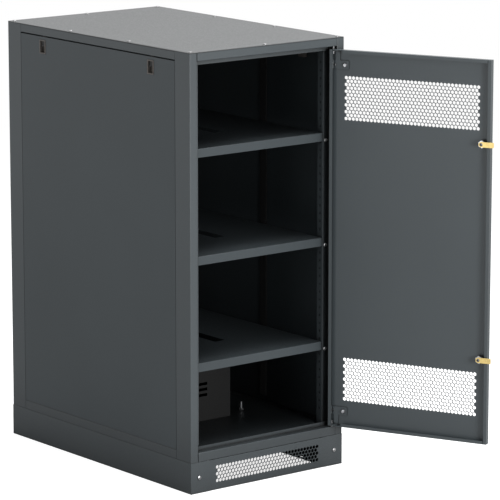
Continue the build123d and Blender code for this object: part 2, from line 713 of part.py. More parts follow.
stud_heights = (door_high - leaf_from_edge, door_low + leaf_from_edge)
parts["hinge_leaf_upper"] = swing * hinge_leaf(1, door_high)
parts["hinge_leaf_lower"] = swing * hinge_leaf(-1, door_low)
leaf_top = door_skin + leaf_sheet
stud_x = door_half - stud_from_edge
rivet_x = door_half - rivet_from_edge
studs = [bar(screw_radius, (stud_x, door_skin, z), (stud_x, leaf_top + hinge_stud_length, z))
         for z in stud_heights]
parts["hinge_nuts"] = swing * group(*[
    bar(nut_washer_radius, (stud_x, leaf_top, z), (stud_x, leaf_top + sheet, z), bush_sides)
    + hexagon(hinge_nut_flats, (stud_x, leaf_top, z), (stud_x, leaf_top + lock_nut_height, z))
    - bar(screw_radius + seam, (stud_x, leaf_top - 1, z), (stud_x, leaf_top + 10, z)) for z in stud_heights])
rivets = [bar(rivet_radius, (rivet_x, door_skin, z), (rivet_x, leaf_top, z))
          + bar(rivet_head_radius, (rivet_x, leaf_top, z), (rivet_x, leaf_top + rivet_head_height, z))
          for z in stud_heights]
parts["hinge_studs"] = swing * group(*studs, *rivets)


# ---- cam locks

cam_face = door_front + cam_standoff
spacer_back = door_front + spacer_end
nut_back = spacer_back + lock_nut_height
barrels, spacers, nuts = [], [], []
for z in lock_heights:
    bore = rod(spindle_radius + pin_play, (lock_x, door_front - 10, z), (lock_x, 0, z))
    body = bar(barrel_radius, (lock_x, door_front, z), (lock_x, cam_face - rest_gap, z), bush_sides)
    body += bar(bezel_radius, (lock_x, door_front - bezel_proud, z), (lock_x, door_front, z), bezel_sides)
    barrels.append(body - bore)
    neck = bar(barrel_radius + seam / 2, (lock_x, door_front, z), (lock_x, 0, z), bush_sides)
    spacers.append(bar(spacer_radius, (lock_x, door_skin, z), (lock_x, spacer_back, z), bush_sides) - neck)
    nuts.append(hexagon(lock_nut_flats, (lock_x, spacer_back, z), (lock_x, nut_back, z)) - neck)
parts["lock_barrels"] = swing * group(*barrels)
parts["lock_spacers"] = swing * group(*spacers)
parts["lock_nuts"] = swing * group(*nuts)
for name, z in zip(("lower", "upper"), lock_heights):
    screw_bore = bar(cam_screw_radius + seam / 2, (lock_x, cam_face - cam_screw_length, z), (lock_x, 0, z))
    parts[f"lock_spindle_{name}"] = swing * (
        rod(spindle_radius, (lock_x, door_front - bezel_proud, z), (lock_x, cam_face, z)) - screw_bore)
    cam_plane = Plane(origin=(lock_x, cam_face, z), x_dir=(-1, 0, 0), z_dir=(0, 1, 0))
    tip = Pos(cam_length / 2, 0) * RectangleRounded(cam_length, cam_width, bend)
    outline = Circle(cam_width / 2) + tip + Pos(cam_length / 4, 0) * Rectangle(cam_length / 2, cam_width)
    parts[f"lock_cam_{name}"] = swing * (extrude(cam_plane * outline, cam_sheet) - screw_bore)
    seat = cam_face + cam_sheet
    head_plane = Plane(origin=(lock_x, seat, z), z_dir=(0, 1, 0))
    head = extrude(head_plane * RegularPolygon(cam_screw_head, fastener_sides), head_height, taper=head_taper)
    parts[f"cam_screw_{name}"] = swing * (
        head + bar(cam_screw_radius, (lock_x, seat - cam_screw_length + 1, z), (lock_x, seat, z)))


os.makedirs("parts", exist_ok=True)
for name, shape in parts.items():
    export_step(shape, f"parts/{name}.step")
print(len(parts), "nodes")
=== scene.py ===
import json
import math

import bmesh
import bpy
from mathutils import Matrix, Vector


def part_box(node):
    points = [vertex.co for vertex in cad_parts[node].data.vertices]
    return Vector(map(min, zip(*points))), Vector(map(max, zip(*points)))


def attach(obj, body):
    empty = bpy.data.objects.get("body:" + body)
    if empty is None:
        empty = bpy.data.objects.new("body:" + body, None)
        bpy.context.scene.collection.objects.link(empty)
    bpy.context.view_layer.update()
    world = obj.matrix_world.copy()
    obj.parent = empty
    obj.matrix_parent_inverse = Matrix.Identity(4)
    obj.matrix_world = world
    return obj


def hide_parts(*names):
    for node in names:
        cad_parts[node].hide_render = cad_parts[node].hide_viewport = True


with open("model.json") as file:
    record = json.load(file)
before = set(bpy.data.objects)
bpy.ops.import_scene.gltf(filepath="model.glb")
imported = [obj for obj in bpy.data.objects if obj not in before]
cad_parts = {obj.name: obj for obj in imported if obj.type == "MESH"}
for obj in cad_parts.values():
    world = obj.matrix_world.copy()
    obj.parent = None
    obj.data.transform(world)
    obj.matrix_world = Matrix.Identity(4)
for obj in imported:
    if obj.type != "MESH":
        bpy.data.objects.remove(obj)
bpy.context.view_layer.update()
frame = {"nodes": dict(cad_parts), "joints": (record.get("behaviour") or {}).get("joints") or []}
nodes = frame["nodes"]


# ---- Powder coat on the frame
# The frame is folded sheet steel with a graphite grey powder coat, sprayed on and baked.
# The coat has a fine orange peel and drifts a little in shade and gloss over a large face.

def effect_group(name, inputs, outputs):
    """An empty shader node group; inputs are (name, kind, value), outputs are (name, kind)."""
    group = bpy.data.node_groups.new(name, "ShaderNodeTree")
    for label, kind, value in inputs:
        group.interface.new_socket(label, in_out="INPUT", socket_type=kind).default_value = value
    for label, kind in outputs:
        group.interface.new_socket(label, in_out="OUTPUT", socket_type=kind)
    return group, group.nodes.new("NodeGroupInput"), group.nodes.new("NodeGroupOutput")


def noise(group, coordinates, scale, detail):
    """A cloudy pattern of 0 to 1."""
    node = group.nodes.new("ShaderNodeTexNoise")
    node.inputs["Scale"].default_value = scale
    node.inputs["Detail"].default_value = detail
    group.links.new(coordinates, node.inputs["Vector"])
    return node.outputs["Fac"]


def remap(group, value, low, high, start=0.3, end=0.7):
    """Stretches a value's range from start..end to low..high; low and high may be numbers or sockets."""
    node = group.nodes.new("ShaderNodeMapRange")
    group.links.new(value, node.inputs["Value"])
    for label, number in (("From Min", start), ("From Max", end)):
        node.inputs[label].default_value = number
    for label, bound in (("To Min", low), ("To Max", high)):
        if isinstance(bound, (int, float)):
            node.inputs[label].default_value = bound
        else:
            group.links.new(bound, node.inputs[label])
    return node.outputs["Result"]


def shaded(group, colour, amount):
    """The colour made brighter or darker by a factor."""
    node = group.nodes.new("ShaderNodeVectorMath")
    node.operation = "SCALE"
    group.links.new(colour, node.inputs[0])
    group.links.new(amount, node.inputs["Scale"])
    return node.outputs["Vector"]


coat_group, coat_in, coat_out = effect_group(
    "powder_coat",
    [("Colour", "NodeSocketColor", (0.1, 0.1, 0.1, 1)), ("Gloss", "NodeSocketFloat", 0.4),
     ("Darkest", "NodeSocketFloat", 0.94), ("Lightest", "NodeSocketFloat", 1.05)],
    [("Colour", "NodeSocketColor"), ("Roughness", "NodeSocketFloat"), ("Height", "NodeSocketFloat")])
coat_place = coat_group.nodes.new("ShaderNodeTexCoord").outputs["Object"]
cloud_scale = 2.2
grit_scale = 240.0
peel_scale = 620.0
coat_cloud = noise(coat_group, coat_place, cloud_scale, 3.0)
coat_grit = noise(coat_group, coat_place, grit_scale, 2.0)
coat_shade = remap(coat_group, coat_cloud, coat_in.outputs["Darkest"], coat_in.outputs["Lightest"])
coat_group.links.new(shaded(coat_group, coat_in.outputs["Colour"], coat_shade), coat_out.inputs["Colour"])
coat_gloss = coat_group.nodes.new("ShaderNodeMath")
coat_gloss.operation = "ADD"
coat_group.links.new(coat_in.outputs["Gloss"], coat_gloss.inputs[0])
coat_group.links.new(remap(coat_group, coat_grit, -0.05, 0.06), coat_gloss.inputs[1])
coat_group.links.new(coat_gloss.outputs[0], coat_out.inputs["Roughness"])
coat_group.links.new(noise(coat_group, coat_place, peel_scale, 1.5), coat_out.inputs["Height"])


def painted_shade_factor(tree, reach, darkest, closed=0.25, opened=0.95):
    """A factor of painted shade: it darkens the colour where other faces are within reach, in place of the
    deep shade there.
    """
    samples = 6
    shelter = tree.nodes.new("ShaderNodeAmbientOcclusion")
    shelter.samples = samples
    shelter.inputs["Distance"].default_value = reach
    return remap(tree, shelter.outputs["AO"], darkest, 1.0, start=closed, end=opened)


def finish_material(name, group, values, metallic=0.0, bump=0.05, bump_depth=0.0002, painted_shades=(),
                    reflection=0.5):
    """A Principled material fed by an effect group; each painted shade darkens its colour and is (reach,
    darkest, closed, opened).
    """
    material = bpy.data.materials.new(name)
    material.use_nodes = True
    tree = material.node_tree
    surface = tree.nodes["Principled BSDF"]
    effect = tree.nodes.new("ShaderNodeGroup")
    effect.node_tree = group
    for label, value in values.items():
        effect.inputs[label].default_value = value
    relief = tree.nodes.new("ShaderNodeBump")
    relief.inputs["Strength"].default_value = bump
    relief.inputs["Distance"].default_value = bump_depth
    surface.inputs["Metallic"].default_value = metallic
    surface.inputs["Specular IOR Level"].default_value = reflection
    colour = effect.outputs["Colour"]
    # Painted shade: the colour is darkened where other faces are near, standing in for the shade there.
    for shelter in painted_shades:
        colour = shaded(tree, colour, painted_shade_factor(tree, *shelter))
    tree.links.new(colour, surface.inputs["Base Color"])
    tree.links.new(effect.outputs["Roughness"], surface.inputs["Roughness"])
    tree.links.new(effect.outputs["Height"], relief.inputs["Height"])
    tree.links.new(relief.outputs["Normal"], surface.inputs["Normal"])
    return material


def srgb(red, green, blue):
    """A colour given as screen levels of 0 to 255, as linear light."""
    levels = [v / 255 for v in (red, green, blue)]
    return tuple(v / 12.92 if v <= 0.04045 else ((v + 0.055) / 1.055) ** 2.4 for v in levels) + (1,)


def dress(material, *names):
    """Gives CAD nodes their finish."""
    for name in names:
        for place in nodes[name].material_slots:
            place.material = material


graphite = srgb(60, 66, 69)
# Painted shade, each (reach, darkest, closed, opened): the coats' colour is darkened in seams and creases,
# and over faces deep inside the cabinet, in place of the shade there.
seam_painted_shade = (0.006, 0.12, 0.45, 0.95)
inside_painted_shade = (0.35, 0.07, 0.32, 0.80)
cover_painted_shade = (0.35, 0.07, 0.32, 0.60)
recess_painted_shades = (seam_painted_shade, inside_painted_shade)
open_side_painted_shades = (seam_painted_shade, cover_painted_shade)
touching = 1e-5


def merged(node):
    """A CAD node's mesh with its loose triangles joined and its flat faces whole again."""
    flat = math.radians(2)
    shape = bmesh.new()
    shape.from_mesh(nodes[node].data)
    bmesh.ops.transform(shape, matrix=nodes[node].matrix_world, verts=shape.verts)
    bmesh.ops.remove_doubles(shape, verts=shape.verts, dist=touching)
    bmesh.ops.dissolve_limit(shape, angle_limit=flat, verts=shape.verts, edges=shape.edges)
    return shape


def as_piece(name, shape, material, body, slot, *replaced):
    """A finished bmesh as an object that rides on a body; it may stand for CAD nodes."""
    mesh = bpy.data.meshes.new(name)
    shape.to_mesh(mesh)
    shape.free()
    mesh.materials.append(material)
    piece = bpy.data.objects.new(name, mesh)
    bpy.context.scene.collection.objects.link(piece)
    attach(piece, body)
    if replaced:
        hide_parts(*replaced)
    return piece


def relieve(shape, axis, gap):
    """Takes the gap off both ends of a shape along an axis."""
    places = [v.co[axis] for v in shape.verts]
    low, high = min(places), max(places)
    reach = 0.0001
    for v in shape.verts:
        if v.co[axis] < low + reach:
            v.co[axis] += gap
        elif v.co[axis] > high - reach:
            v.co[axis] -= gap


def with_bends(node, material, body, slot, radius, relieved=()):
    """A copy of a sheet metal node with its sharp outer folds bent and a joint gap at its butting ends."""
    shape = merged(node)
    shortest = 0.02
    narrowest = 0.004
    sharp_from = math.radians(50)
    joint_gap = 0.0007
    for axis in relieved:
        relieve(shape, axis, joint_gap)
    folds = []
    for edge in shape.edges:
        length = edge.calc_length()
        if len(edge.link_faces) != 2 or length < shortest or edge.calc_face_angle_signed() < sharp_from:
            continue
        if all(face.calc_area() / length > narrowest for face in edge.link_faces):
            folds.append(edge)
    bmesh.ops.bevel(shape, geom=folds, offset=radius, segments=3, profile=0.5, affect="EDGES", material=-1,
                    clamp_overlap=True)
    return as_piece(f"{node}_folded", shape, material, body, slot, node)


# The frame's colour carries painted shade in seams and deep inside the cabinet.
frame_coat = finish_material("frame_powder_coat", coat_group, {"Colour": graphite, "Gloss": 0.42}, bump=0.12,
                             painted_shades=recess_painted_shades)
frame_bend = 0.0022
along_x, along_y, along_z = 0, 1, 2
for names, relieved in (
        (("post_front_left", "post_front_right", "post_rear_left", "post_rear_right"), (along_z,)),
        (("rail_front_top", "rail_front_bottom", "rail_rear_top", "rail_rear_bottom"), (along_x, along_z)),
        (("side_rail_left", "side_rail_right", "side_sill_left", "side_sill_right"), (along_y, along_z))):
    for name in names:
        with_bends(name, frame_coat, "cabinet", "frame_paint", frame_bend, relieved)
dress(frame_coat, "post_caps")


# ---- Plinth
# A plinth of 2 mm side channels and corner brackets and 1.5 mm plates, in the frame's powder coat.
# The front plate is punched with a field of hexagonal holes and folded back along its top and foot.

def web_cell(pitch, hole):
    """One hexagon of metal round a hexagonal hole, in the XZ plane about the origin, facing -Y."""
    cell = bmesh.new()
    upright = Matrix.Rotation(math.radians(90), 4, "X")
    for size in (pitch, hole):
        bmesh.ops.create_circle(cell, segments=6, radius=size / math.sqrt(3), matrix=upright)
    bmesh.ops.bridge_loops(cell, edges=cell.edges[:])
    mesh = bpy.data.meshes.new("web_cell")
    cell.to_mesh(mesh)
    cell.free()
    return mesh


def punched_face(outline, vents, round_holes, pitch, hole):
    """A flat sheet in the XZ plane, facing -Y, with fields of hexagonal holes and some round holes."""
    sheet = bmesh.new()
    cell = web_cell(pitch, hole)
    for (centre_x, centre_z), columns, rows in vents:
        for row in range(rows):
            count = columns - row % 2
            z = centre_z + (row - (rows - 1) / 2) * pitch * math.sqrt(3) / 2
            for i in range(count):
                start = len(sheet.verts)
                sheet.from_mesh(cell)
                sheet.verts.ensure_lookup_table()
                bmesh.ops.translate(sheet, verts=sheet.verts[start:],
                                    vec=(centre_x + (i - (count - 1) / 2) * pitch, 0, z))
    bmesh.ops.remove_doubles(sheet, verts=sheet.verts, dist=touching)
    side = pitch / math.sqrt(3)
    around = [e for e in sheet.edges if e.is_boundary and e.calc_length() > (side + hole / math.sqrt(3)) / 2]
    corners = [sheet.verts.new((x, 0, z)) for x, z in outline]
    rim = [sheet.edges.new((corners[i - 1], corners[i])) for i in range(len(corners))]
    upright = Matrix.Rotation(math.radians(90), 4, "X")
    for x, z, radius in round_holes:
        ring = bmesh.ops.create_circle(sheet, segments=32, radius=radius,
                                       matrix=Matrix.Translation((x, 0, z)) @ upright)
        around += list({e for v in ring["verts"] for e in v.link_edges})
    bmesh.ops.triangle_fill(sheet, use_beauty=True, edges=rim + around, normal=(0, -1, 0))
    bmesh.ops.recalc_face_normals(sheet, faces=sheet.faces)
    if sum(f.normal.y for f in sheet.faces) > 0:
        bmesh.ops.reverse_faces(sheet, faces=sheet.faces)
    bpy.data.meshes.remove(cell)
    return sheet, rim


def pulled(sheet, edges, step):
    """Extrudes edges by a step and returns the new edges."""
    made = bmesh.ops.extrude_edge_only(sheet, edges=edges)["geom"]
    verts = [g for g in made if isinstance(g, bmesh.types.BMVert)]
    bmesh.ops.translate(sheet, verts=verts, vec=step)
    ends = set(verts)
    return [g for g in made if isinstance(g, bmesh.types.BMEdge) and all(v in ends for v in g.verts)]


def thicken(piece, thickness):
    """Gives a sheet its gauge, inwards from the face that is in view."""
    wall = piece.modifiers.new("gauge", "SOLIDIFY")
    wall.thickness = thickness
    wall.offset = -1.0
    wall.use_even_offset = True


# The plinth's colour carries painted shade in seams and where other faces stand near.
plinth_coat = finish_material(
    "plinth_powder_coat", coat_group, {"Colour": graphite, "Gloss": 0.44}, bump=0.12, painted_shades=open_side_painted_shades)
for name in ("plinth_rear", "plinth_side_left", "plinth_side_right"):
    with_bends(name, plinth_coat, "cabinet", "plinth_paint", frame_bend)
dress(plinth_coat, "plinth_brackets")
plinth_low, plinth_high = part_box("plinth_front")
plinth_half = plinth_high.x
plinth_fold_half = 0.230
plinth_fold = 0.015
plinth_gauge = 0.0015
plinth_vent_height = 0.050
plinth_top = plinth_high.z
plate, _ = punched_face(
    [(-plinth_half, 0), (-plinth_fold_half, 0), (plinth_fold_half, 0), (plinth_half, 0),
     (plinth_half, plinth_top), (plinth_fold_half, plinth_top), (-plinth_fold_half, plinth_top),
     (-plinth_half, plinth_top)],
    [((0, plinth_vent_height), 33, 5)], [], pitch=0.01239, hole=0.0104)
plinth_folds = [e for e in plate.edges if e.is_boundary and all(
    abs(v.co.x) < plinth_fold_half + touching and (v.co.z < touching or v.co.z > plinth_top - touching)
    for v in e.verts)]
pulled(plate, plinth_folds, (0, plinth_fold, 0))
sharp = [e for e in plinth_folds if e.is_valid and len(e.link_faces) == 2]
bmesh.ops.bevel(plate, geom=sharp, offset=frame_bend, segments=3, profile=0.5, affect="EDGES", material=-1)
bmesh.ops.translate(plate, verts=plate.verts, vec=(0, plinth_low.y, 0))
plinth_plate = as_piece("plinth_front_punched", plate, plinth_coat, "cabinet", "plinth_paint", "plinth_front")
thicken(plinth_plate, plinth_gauge)


# ---- Floor plate and shelves
# The floor plate and the shelves are 1.5 mm sheet, powder coated like the frame and slid in from the front.
# Each shelf stands on two angles. Their coat reflects less than the frame's, which keeps the inside dark, and
# their colour carries painted shade in seams and deep inside the cabinet.

shelf_coat = finish_material(
    "shelf_powder_coat", coat_group, {"Colour": graphite, "Gloss": 0.40, "Darkest": 0.9}, bump=0.12,
    painted_shades=recess_painted_shades, reflection=0.3)
dress(shelf_coat, "shelf_1", "shelf_2", "shelf_3", "shelf_angles_left", "shelf_angles_right", "floor_plate")


# ---- Breaker box
# A small steel box on the floor plate with a slotted cover, in a darker matt coat than the frame's.
# Inside it are a zinc plated mounting rail and grey moulded terminal blocks.

# The box's colour also carries painted shade in seams and deep inside the cabinet.
box_coat = finish_material(
    "box_powder_coat", coat_group, {"Colour": srgb(16, 17, 18), "Gloss": 0.65}, bump=0.16,
    painted_shades=recess_painted_shades, reflection=0.3)
dress(box_coat, "breaker_box", "breaker_box_cover")
terminal_plastic = finish_material(
    "terminal_plastic", coat_group, {"Colour": srgb(150, 152, 153), "Gloss": 0.5}, bump=0.05)
dress(terminal_plastic, "terminal_blocks")


# ---- Roof, side panels and rear panel
# Flat powder coated cover sheets: the roof and rear panel are screwed on, and the side panels stand on the
# sills, held by two latches each. Inside each side panel is a dark upright strip whose use isn't known.

# The roof's and the panels' colours carry painted shade in seams and where other faces stand near.
roof_coat = finish_material("roof_powder_coat", coat_group, {"Colour": srgb(63, 65, 66), "Gloss": 0.40},
                            bump=0.10, painted_shades=recess_painted_shades)
cover_bend = 0.0006
with_bends("roof_plate", roof_coat, "cabinet", "roof_paint", cover_bend)
panel_coat = finish_material(
    "panel_powder_coat", coat_group, {"Colour": graphite, "Gloss": 0.45, "Darkest": 0.95}, bump=0.12,
    painted_shades=open_side_painted_shades, reflection=0.35)
dress(panel_coat, "rear_panel")
for name in ("side_panel_left", "side_panel_right"):
    with_bends(name, panel_coat, name, "panel_paint", cover_bend, (along_y,))


def plain_box(name, low, high, material, body, slot):
    """A square-edged block between two corners."""
    shape = bmesh.new()
    bmesh.ops.create_cube(shape, size=1)
    low, high = Vector(low), Vector(high)
    for v in shape.verts:
        v.co = Vector((high[i] if v.co[i] > 0 else low[i] for i in range(3)))
    return as_piece(name, shape, material, body, slot)


strip_matt = finish_material(
    "dark_strip", coat_group, {"Colour": srgb(12, 12, 13), "Gloss": 0.8}, bump=0.3)
strip_start, strip_end = -0.099, -0.067
body_half = 0.3
strip_depth = 0.003
strip_margin = 0.03
panel_gauge = 0.0012
for side, name in ((-1, "side_panel_left"), (1, "side_panel_right")):
    low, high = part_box(name)
    face = side * (body_half - panel_gauge)
    inner = face - side * strip_depth
    plain_box(f"dark_strip_{name}", (min(face, inner), strip_start, low.z + strip_margin),
              (max(face, inner), strip_end, high.z - strip_margin), strip_matt, name, "panel_paint")


# ---- Screws, bolts and nuts
# Zinc plated pan head screws with a cross recess fix the roof, shelves, plinth and rear panel. Their plating
# is duller than the bolts' bright zinc. All of it is slightly mottled and carries fine brushed marks.

plated_group, plated_in, plated_out = effect_group(
    "plated_metal",
    [("Colour", "NodeSocketColor", (0.7, 0.7, 0.7, 1)), ("Gloss", "NodeSocketFloat", 0.25),
     ("Darkest", "NodeSocketFloat", 0.85), ("Lightest", "NodeSocketFloat", 1.05)],
    [("Colour", "NodeSocketColor"), ("Roughness", "NodeSocketFloat"), ("Height", "NodeSocketFloat")])
plated_place = plated_group.nodes.new("ShaderNodeTexCoord").outputs["Object"]
mottle_scale = 130.0
smear_scale = 420.0
brush_scale = 380.0
brush_stretch = 12.0
plated_mottle = noise(plated_group, plated_place, mottle_scale, 3.0)
plated_shade = remap(plated_group, plated_mottle, plated_in.outputs["Darkest"], plated_in.outputs["Lightest"])
plated_colour = shaded(plated_group, plated_in.outputs["Colour"], plated_shade)
plated_group.links.new(plated_colour, plated_out.inputs["Colour"])
plated_gloss = plated_group.nodes.new("ShaderNodeMath")
plated_gloss.operation = "ADD"
plated_group.links.new(plated_in.outputs["Gloss"], plated_gloss.inputs[0])
plated_group.links.new(remap(plated_group, noise(plated_group, plated_place, smear_scale, 2.0), -0.08, 0.1),
                       plated_gloss.inputs[1])
plated_group.links.new(plated_gloss.outputs[0], plated_out.inputs["Roughness"])
plated_stretch = plated_group.nodes.new("ShaderNodeMapping")
plated_stretch.inputs["Scale"].default_value = (1.0, 1.0, brush_stretch)
plated_group.links.new(plated_place, plated_stretch.inputs["Vector"])
plated_brush = noise(plated_group, plated_stretch.outputs["Vector"], brush_scale, 2.0)
plated_group.links.new(plated_brush, plated_out.inputs["Height"])

bright_zinc = finish_material("bright_zinc", plated_group, {"Colour": srgb(205, 207, 210), "Gloss": 0.25},
                              metallic=1.0, bump=0.1)
dress(bright_zinc, "plinth_bolts", "terminal_rail", "hinge_studs", "hinge_washer")
# Painted shade darkens the dull steel's colour in tight nooks, such as the socket heads' recesses.
dull_steel = finish_material("dull_steel", plated_group, {"Colour": srgb(112, 113, 115), "Gloss": 0.4},
                             metallic=0.9, bump=0.1, painted_shades=((0.002, 0.25),))
dress(dull_steel, "hinge_pins", "earth_stud")
# Painted shade darkens the screw plating's colour in the cross recess and where the head meets the sheet.
screw_zinc = finish_material("screw_zinc", plated_group, {"Colour": srgb(172, 172, 173), "Gloss": 0.3},
                             metallic=0.9, bump=0.1, painted_shades=((0.0025, 0.15),))


def lathe(profile, steps):
    """A turned shape: the profile's (radius, height) points spun about +Z; a point on the axis closes it."""
    turned = bmesh.new()
    points = [turned.verts.new((radius, 0, height)) for radius, height in profile]
    for a, b in zip(points, points[1:]):
        turned.edges.new((a, b))
    bmesh.ops.spin(turned, geom=turned.verts[:] + turned.edges[:], cent=(0, 0, 0), axis=(0, 0, 1),
                   angle=2 * math.pi, steps=steps, use_merge=True)
    bmesh.ops.remove_doubles(turned, verts=turned.verts, dist=1e-6)
    bmesh.ops.recalc_face_normals(turned, faces=turned.faces)
    return turned


def kept_mesh(name, shape):
    """A bmesh as a mesh, for use as a template."""
    mesh = bpy.data.meshes.new(name)
    shape.to_mesh(mesh)
    shape.free()
    return mesh


def recessed(name, head, cutter):
    """The head's mesh with the cutter's shape driven into it."""
    body = bpy.data.objects.new(name, kept_mesh(name, head))
    tool = bpy.data.objects.new(name + "_tool", kept_mesh(name + "_tool", cutter))
    for thing in (body, tool):
        bpy.context.scene.collection.objects.link(thing)
    cut = body.modifiers.new("recess", "BOOLEAN")
    cut.object = tool
    cut.solver = "EXACT"
    bpy.context.view_layer.update()
    ready = bpy.data.meshes.new_from_object(body.evaluated_get(bpy.context.evaluated_depsgraph_get()))
    bpy.data.objects.remove(body)
    bpy.data.objects.remove(tool)
    return ready


def cross_tool(reach, width, low, high):
    """A tapered cross, the shape of a screwdriver's tip, pointing down from high to low."""
    tip = bmesh.new()
    half = width / 2
    quarter = [(reach, -half), (reach, half), (half, half)]
    rings = []
    for height, narrow in ((low, 0.5), (high, 1.0)):
        ring = []
        for turn in range(4):
            spin = Matrix.Rotation(math.radians(90 * turn), 3, "Z")
            for x, y in quarter:
                point = spin @ Vector((x * narrow if x > half else x, y, height))
                ring.append(tip.verts.new(point))
        rings.append(ring)
    bottom, top = rings
    tip.faces.new(reversed(bottom))
    tip.faces.new(top)
    for i in range(len(top)):
        tip.faces.new((bottom[i - 1], bottom[i], top[i], top[i - 1]))
    bmesh.ops.recalc_face_normals(tip, faces=tip.faces)
    return tip


screw_radius = 0.006
screw_height = 0.003
pan_head = recessed(
    "pan_head",
    lathe([(0, 0), (screw_radius, 0), (screw_radius, 0.0012), (0.0054, 0.0021), (0.0040, 0.0027),
           (0.0022, 0.00295), (0, screw_height)], 24),
    cross_tool(0.0040, 0.0014, 0.0008, 0.0040))


def set_down(name, template, places, material, body, slot, *replaced):
    """Copies of one mesh at several places, as one piece; a place is (point, direction)."""
    copies = bmesh.new()
    for point, direction in places:
        start = len(copies.verts)
        copies.from_mesh(template)
        copies.verts.ensure_lookup_table()
        turn = Vector((0, 0, 1)).rotation_difference(Vector(direction)).to_matrix().to_4x4()
        bmesh.ops.transform(copies, matrix=Matrix.Translation(point) @ turn, verts=copies.verts[start:])
    return as_piece(name, copies, material, body, slot, *replaced)


low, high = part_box("roof_screws")
roof_x, roof_y, roof_z = high.x - screw_radius, high.y - screw_radius, high.z - screw_height
roof_places = [((x, y, roof_z), (0, 0, 1)) for x in (-roof_x, roof_x)
               for y in (-roof_y, -roof_y / 3, roof_y / 3, roof_y)]
roof_places += [((0, y, roof_z), (0, 0, 1)) for y in (-roof_y, roof_y)]
set_down("roof_screw_heads", pan_head, roof_places, screw_zinc, "cabinet", "screw_zinc", "roof_screws")

low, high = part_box("plinth_screws")
side_x, face_y, mid_z = high.x - screw_radius, high.y - screw_height, (low.z + high.z) / 2
plinth_places = [((x, side * face_y, mid_z), (0, side, 0)) for x in (-side_x, side_x) for side in (-1, 1)]
set_down("plinth_screw_heads", pan_head, plinth_places, screw_zinc, "cabinet", "screw_zinc", "plinth_screws")

low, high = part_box("rear_screws")
side_x, face_y = high.x - screw_radius, high.y - screw_height
first_z, last_z = low.z + screw_radius, high.z - screw_radius
rear_places = [((x, face_y, first_z + i * (last_z - first_z) / 3), (0, 1, 0))
               for x in (-side_x, side_x) for i in range(4)]
set_down("rear_screw_heads", pan_head, rear_places, screw_zinc, "cabinet", "screw_zinc", "rear_screws")

low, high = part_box("shelf_screws")
side_x, face_y = high.x - screw_radius, high.y - screw_height
shelf_screw_drop = 0.024
shelf_places = []
for name in ("shelf_1", "shelf_2", "shelf_3"):
    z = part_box(name)[1].z - shelf_screw_drop
    shelf_places += [((x, side * face_y, z), (0, side, 0)) for x in (-side_x, side_x) for side in (-1, 1)]
set_down("shelf_screw_heads", pan_head, shelf_places, screw_zinc, "cabinet", "screw_zinc", "shelf_screws")


# ---- Side panel latches
# Each latch is a moulded grey-brown frame clipped into the panel, with a sprung black thumb slide in it.
# The slide's bolt stands up behind the side rail, is grey at its tip, and is drawn down to free the panel.

moulded_grey = finish_material(
    "moulded_grey", coat_group, {"Colour": srgb(84, 79, 75), "Gloss": 0.5}, bump=0.08)
moulded_black = finish_material(
    "moulded_black", coat_group, {"Colour": srgb(14, 14, 15), "Gloss": 0.5}, bump=0.08)
dress(moulded_grey, "latch_bezels_left", "latch_bezels_right")
dress(moulded_black, "latch_slide_left_front", "latch_slide_left_rear",
      "latch_slide_right_front", "latch_slide_right_rear")
tip_skin = 0.0002
tip_height = 0.012
bolt_half = 0.006
bolt_sheet = 0.003
bolt_outer = 0.2935
for side in ("left", "right"):
    for end in ("front", "rear"):
        low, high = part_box(f"latch_slide_{side}_{end}")
        middle = (low.y + high.y) / 2
        bolt_x = -bolt_outer if side == "left" else bolt_outer - bolt_sheet
        reach_y = bolt_half + tip_skin
        plain_box(f"latch_bolt_{side}_{end}", (bolt_x - tip_skin, middle - reach_y, high.z - tip_height),
                  (bolt_x + bolt_sheet + tip_skin, middle + reach_y, high.z - tip_skin / 2), moulded_grey,
                  f"latch_{side}_{end}", "slide_plastic")


# ---- Front door
# A single sheet folded back on all four sides, with a return lip that stiffens its edge, and two vents.
# It is drawn shut and then swung open about its hinge pins, as it stands.

hinge = next(j for j in frame["joints"] if j["name"] == "door_hinge")
hinge_point = Vector(hinge["pos_m"])
door_open = math.radians(115)
swing = (Matrix.Translation(hinge_point) @ Matrix.Rotation(door_open, 4, "Z")
         @ Matrix.Translation(-hinge_point))
door_half = 0.269
door_low, door_high = (corner.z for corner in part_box("door_pan"))
door_face = -0.479
door_depth = 0.020
door_bend = 0.0025
door_gauge = 0.0015
lip_width = 0.010
end_lip_span = (-0.257, 0.225)
lock_x = -0.241
lock_heights = (0.396, 1.066)
lock_hole = 0.0082
door_middle = (door_low + door_high) / 2
door_tall = (door_high - door_low) / 2
vent_offset = 0.446
flat_half, flat_tall = door_half - door_bend, door_tall - door_bend


def with_edges(faces):
    """Faces together with their edges and corners, as a bisect takes them."""
    return list(faces) + list({e for f in faces for e in f.edges}) + list({v for f in faces for v in f.verts})


pan, rim = punched_face(
    [(-flat_half, -flat_tall), (flat_half, -flat_tall), (flat_half, flat_tall), (-flat_half, flat_tall)],
    [((0, -vent_offset), 37, 13), ((0, vent_offset), 37, 13)],
    [(lock_x, z - door_middle, lock_hole) for z in lock_heights], pitch=0.01226, hole=0.0103)
edge = rim
bend_steps = 5
for i in range(bend_steps):
    before, after = (math.radians(90 * k / bend_steps) for k in (i, i + 1))
    edge = pulled(pan, edge, (0, door_bend * (math.cos(before) - math.cos(after)), 0))
    grow = door_bend * (math.sin(after) - math.sin(before))
    for v in {v for e in edge for v in e.verts}:
        v.co.x += math.copysign(grow, v.co.x)
        v.co.z += math.copysign(grow, v.co.z)
edge = pulled(pan, edge, (0, door_depth - door_bend, 0))
for side in (-1, 1):
    lip_edges = [e for e in edge if all(v.co.x * side > door_half - touching for v in e.verts)]
    pulled(pan, lip_edges, (-side * lip_width, 0, 0))
